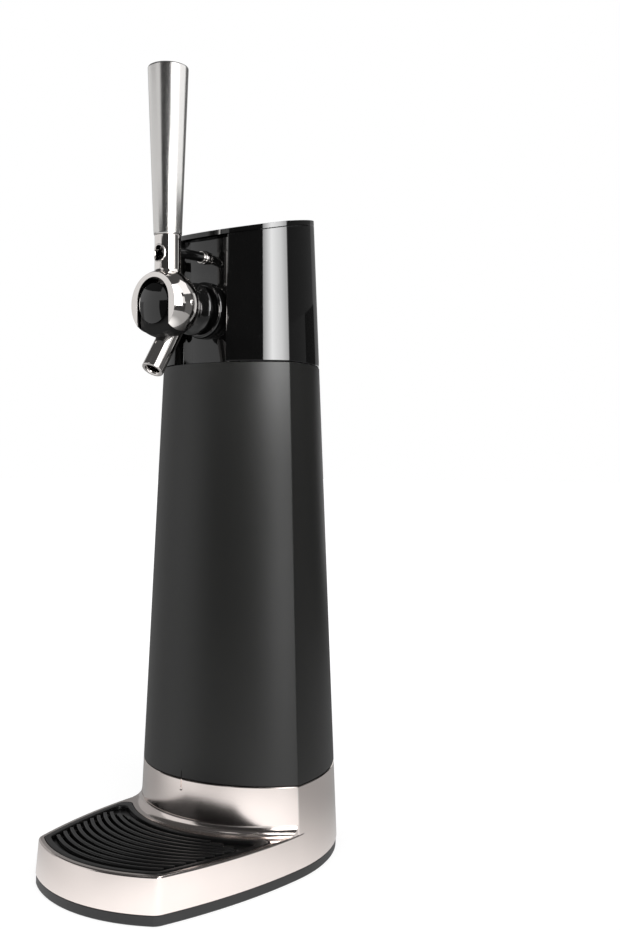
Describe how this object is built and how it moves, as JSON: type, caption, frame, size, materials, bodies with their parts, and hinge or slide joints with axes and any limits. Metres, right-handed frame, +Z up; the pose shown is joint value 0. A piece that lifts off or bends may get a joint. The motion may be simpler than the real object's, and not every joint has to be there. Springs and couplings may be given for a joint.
{
  "type": "home_beer_dispenser",
  "caption": "Tapered matte tower on a silver base with a curved drip tray; a gloss sloped head carries a chrome ball tap whose tall handle tilts to pour; the tower lifts off to load it",
  "frame": {"origin": "on the table, under the middle of the base's outline", "axes": "+Z up, -Y towards the person who pours (the tray's side), +X to that person's right"},
  "size_m": [0.1392, 0.21, 0.4962],
  "materials": {
    "base_silver": "satin champagne silver paint",
    "casing_charcoal": "matte soft-touch charcoal",
    "head_gloss": "high gloss black",
    "foot_black": "fine-grained black",
    "tray_black": "satin black",
    "tap_black": "satin black",
    "tap_chrome": "polished",
    "handle_silver": "fine satin",
    "inner_black": "moulded",
    "tube_grey": "moulded",
    "rubber_black": "moulded",
    "steel_plain": "plain",
    "line_clear": "milky food-grade tube",
    "ceramic_cream": "unglazed ceramic",
    "board_green": "solder mask",
    "cell_grey": "plain sleeve"
  },
  "bodies": {
    "base": {"bottom_plate": "foot_black", "rubber_feet": "rubber_black", "base_screws": "steel_plain", "base_housing": "base_silver", "container_rest": "inner_black", "rest_pad": "rubber_black", "base_seal": "rubber_black"},
    "tray": {"drip_pan": "tray_black"},
    "grille": {"drip_grille": "tray_black"},
    "tower": {"body_shell": "casing_charcoal", "chamber_tube": "tube_grey", "tube_seal": "rubber_black", "bulkhead": "inner_black", "dip_tube": "line_clear", "head_screws": "steel_plain", "head_shell": "head_gloss", "tap_fascia": "head_gloss", "tap_shank": "tap_black", "shank_flange": "head_gloss", "shank_nut": "steel_plain", "foam_transducer": "ceramic_cream", "tap_core": "tap_black", "front_disc": "head_gloss", "spout": "tap_chrome", "rod_bush": "tap_chrome", "return_spring": "steel_plain", "rod_sensor": "board_green", "beer_hose": "line_clear", "air_hose": "line_clear", "pump_head": "inner_black", "pump_motor": "steel_plain", "control_board": "board_green", "battery_holder": "inner_black", "battery_contacts": "steel_plain", "batteries": "cell_grey"},
    "lever": {"lever_yoke": "tap_chrome", "pivot_pins": "tap_chrome", "tap_handle": "handle_silver", "handle_stud": "steel_plain"},
    "rod": {"push_rod": "tap_black", "rod_magnet": "steel_plain"},
    "cap": {"head_cap": "head_gloss"}
  },
  "joints": [
    {"name": "tower_lift", "type": "slide", "parent": "base", "child": "tower", "axis": [0, 0, 1], "range_m": [0, 0.28]},
    {"name": "tray_lift", "type": "slide", "parent": "base", "child": "tray", "axis": [0, 0, 1], "range_m": [0, 0.03]},
    {"name": "grille_lift", "type": "slide", "parent": "tray", "child": "grille", "axis": [0, 0, 1], "range_m": [0, 0.02]},
    {"name": "lever_tilt", "type": "hinge", "parent": "tower", "child": "lever", "pos_m": [0, -0.03083, 0.3498], "axis": [1, 0, 0], "range_deg": [-12, 20], "stiffness_Nm_per_rad": 0.9},
    {"name": "rod_travel", "type": "slide", "parent": "tower", "child": "rod", "axis": [0, -1, 0], "range_m": [-0.00723, 0.01206], "deforming": ["return_spring"]},
    {"name": "cap_lift", "type": "slide", "parent": "tower", "child": "cap", "axis": [0, 0, 1], "range_m": [0, 0.02]}
  ],
  "couplings": [
    {"joint": "rod_travel", "follows": "lever_tilt", "m_per_rad": 0.03454}
  ]
}
